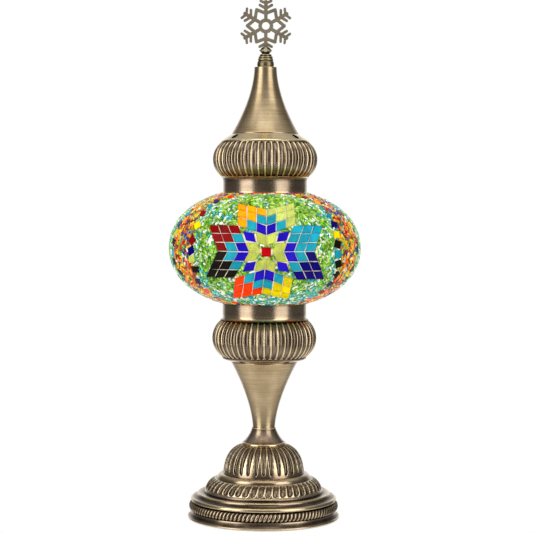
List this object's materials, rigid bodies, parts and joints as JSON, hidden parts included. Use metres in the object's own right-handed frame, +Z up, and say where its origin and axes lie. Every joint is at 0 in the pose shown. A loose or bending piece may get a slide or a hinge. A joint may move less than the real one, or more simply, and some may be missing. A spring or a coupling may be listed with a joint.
{
  "type": "mosaic table lamp",
  "caption": "Table lamp with a fluted brass foot and caps, a flared stem, a flattened glass globe covered in cut glass mosaic, and a spire with a snowflake finial.",
  "frame": {"origin": "centre of the foot's underside, on the table", "axes": "+Z up along the lamp's axis; the middle of one mosaic star and the flat face of the snowflake look along -Y, and the cord inlet is at +Y"},
  "size_m": [0.15, 0.15, 0.4048],
  "materials": {
    "antique_brass": "antiqued: bright on ridges, dark brown in recesses",
    "antique_brass_cone": "brushed round the axis",
    "dark_brass": "cast and darkened",
    "clear_glass": "clear blown glass",
    "mosaic": "cut coloured glass tiles and beads in pale grout, lit from inside",
    "steel": "zinc plated",
    "iron": "as cast, painted black",
    "felt": "black felt",
    "black_plastic": "moulded",
    "holder_resin": "moulded resin",
    "holder_ceramic": "unglazed",
    "contact_metal": "bright pressed",
    "cap_metal": "nickel plated",
    "white_plastic": "satin",
    "board_metal": "white solder mask",
    "led": "phosphor",
    "opal": "opal diffuser, lit"
  },
  "bodies": {
    "root": {"felt_pad": "felt", "bottom_plate": "steel", "base_weight": "iron", "base_foot": "antique_brass", "cord_gland": "black_plastic", "base_dome": "antique_brass", "base_neck": "antique_brass", "stem_cone": "antique_brass_cone", "lower_cap": "antique_brass", "lamp_pipe": "steel", "lower_washer": "steel", "lower_nut": "steel", "upper_washer": "steel", "upper_nut": "steel", "holder_base": "holder_resin", "holder_core": "holder_ceramic", "terminal_screws": "steel", "holder_skirt": "holder_resin", "thread_sleeve": "contact_metal", "centre_contact": "contact_metal"},
    "globe": {"globe_glass": "clear_glass", "mosaic_layer": "mosaic"},
    "top_cap": {"upper_cap": "antique_brass", "spring_clips": "steel", "spire_cone": "antique_brass_cone", "top_stud": "steel", "top_washer": "steel", "top_nut": "steel"},
    "finial": {"finial_stem": "dark_brass", "finial_rivet": "dark_brass", "snowflake": "dark_brass"},
    "bulb": {"bulb_contact": "cap_metal", "cap_insulator": "black_plastic", "bulb_cap": "cap_metal", "bulb_housing": "white_plastic", "led_board": "board_metal", "led_chips": "led", "bulb_dome": "opal"}
  },
  "joints": [
    {"name": "globe_lift", "type": "slide", "parent": "root", "child": "globe", "axis": [0, 0, 1], "range_m": [0, 0.08]},
    {"name": "top_cap_lift", "type": "slide", "parent": "globe", "child": "top_cap", "axis": [0, 0, 1], "range_m": [0, 0.04]},
    {"name": "finial_turn", "type": "hinge", "parent": "top_cap", "child": "finial", "pos_m": [0, 0, 0.36], "axis": [0, 0, 1], "continuous": true},
    {"name": "bulb_out", "type": "slide", "parent": "root", "child": "bulb", "axis": [0, 0, 1], "range_m": [0, 0.026]}
  ]
}
